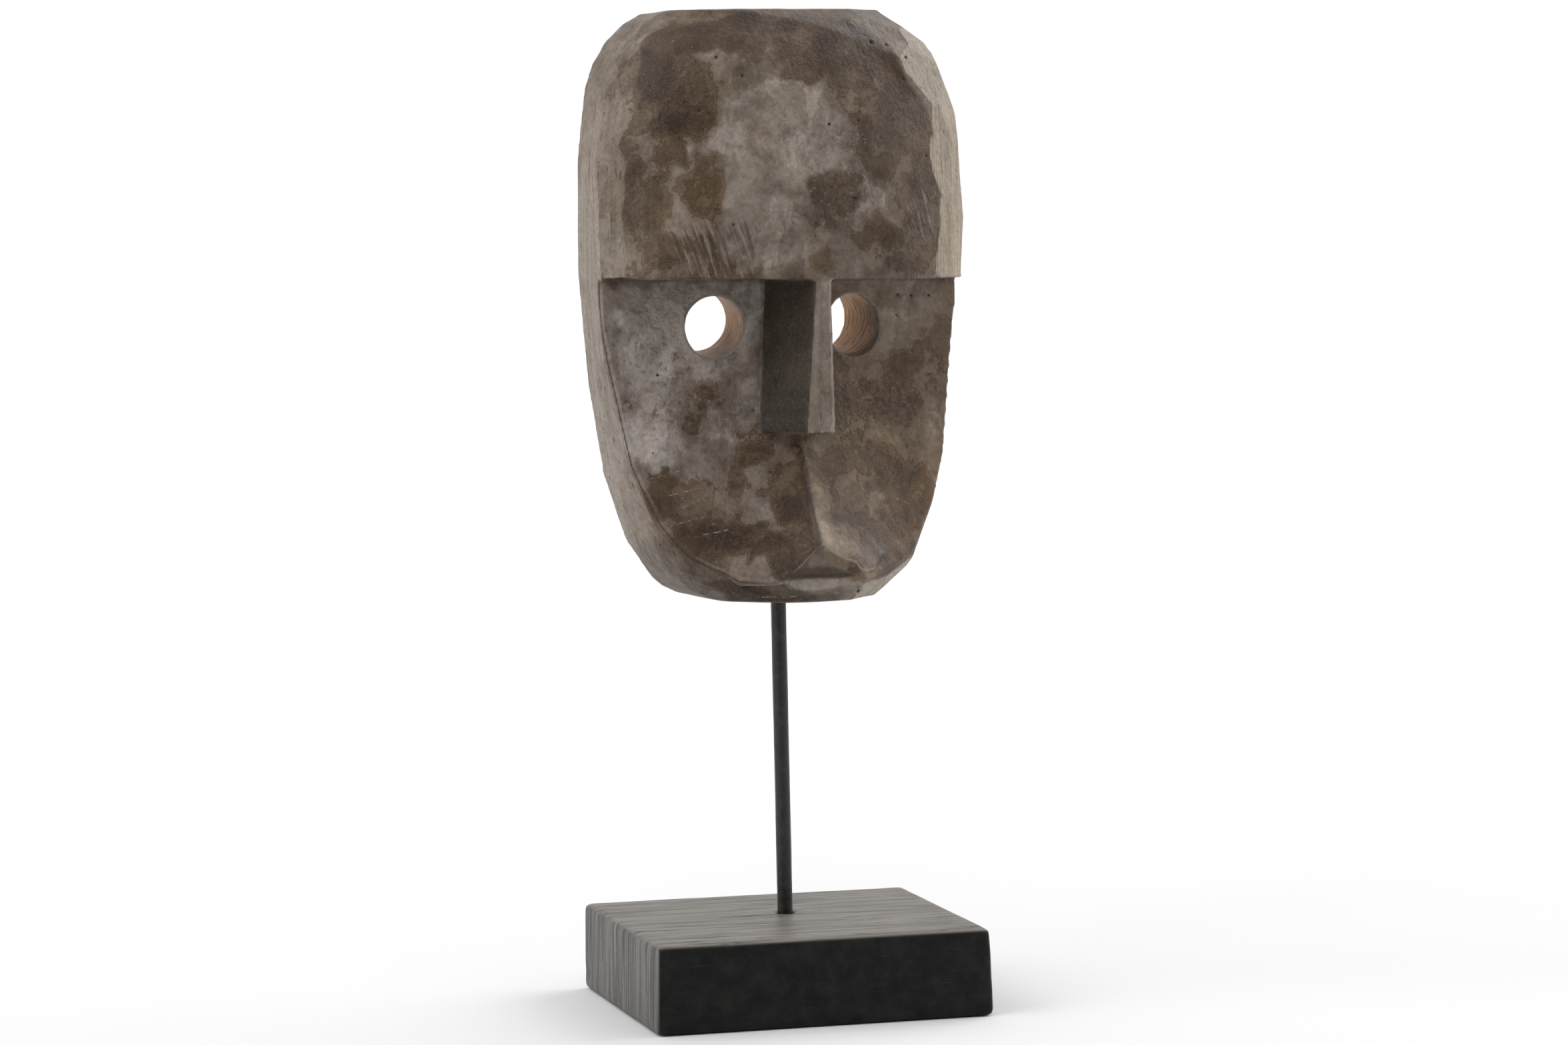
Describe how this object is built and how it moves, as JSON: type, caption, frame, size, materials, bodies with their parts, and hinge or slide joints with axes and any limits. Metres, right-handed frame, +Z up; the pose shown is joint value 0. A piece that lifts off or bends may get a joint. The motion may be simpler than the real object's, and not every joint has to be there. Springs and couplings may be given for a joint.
{
  "type": "tribal mask",
  "caption": "Hewn wooden tribal mask with a flat brow, round eye holes and a straight nose, on a thin metal rod in a rectangular wood block.",
  "frame": {"origin": "centre of the wood block's flat underside", "axes": "+Z up the rod to the crown; -Y the way the block's long side and, turned a little to the right, the face look; +X to the right seen from the front"},
  "size_m": [0.1996, 0.134, 0.4998],
  "materials": {
    "mask": "stained taupe brown over hewn wood, blotched, dull satin",
    "rod": "black satin",
    "base": "black stained wood with open grain, satin"
  },
  "bodies": {
    "root": {"mask": "mask", "rod": "rod", "base": "base"}
  },
  "joints": []
}
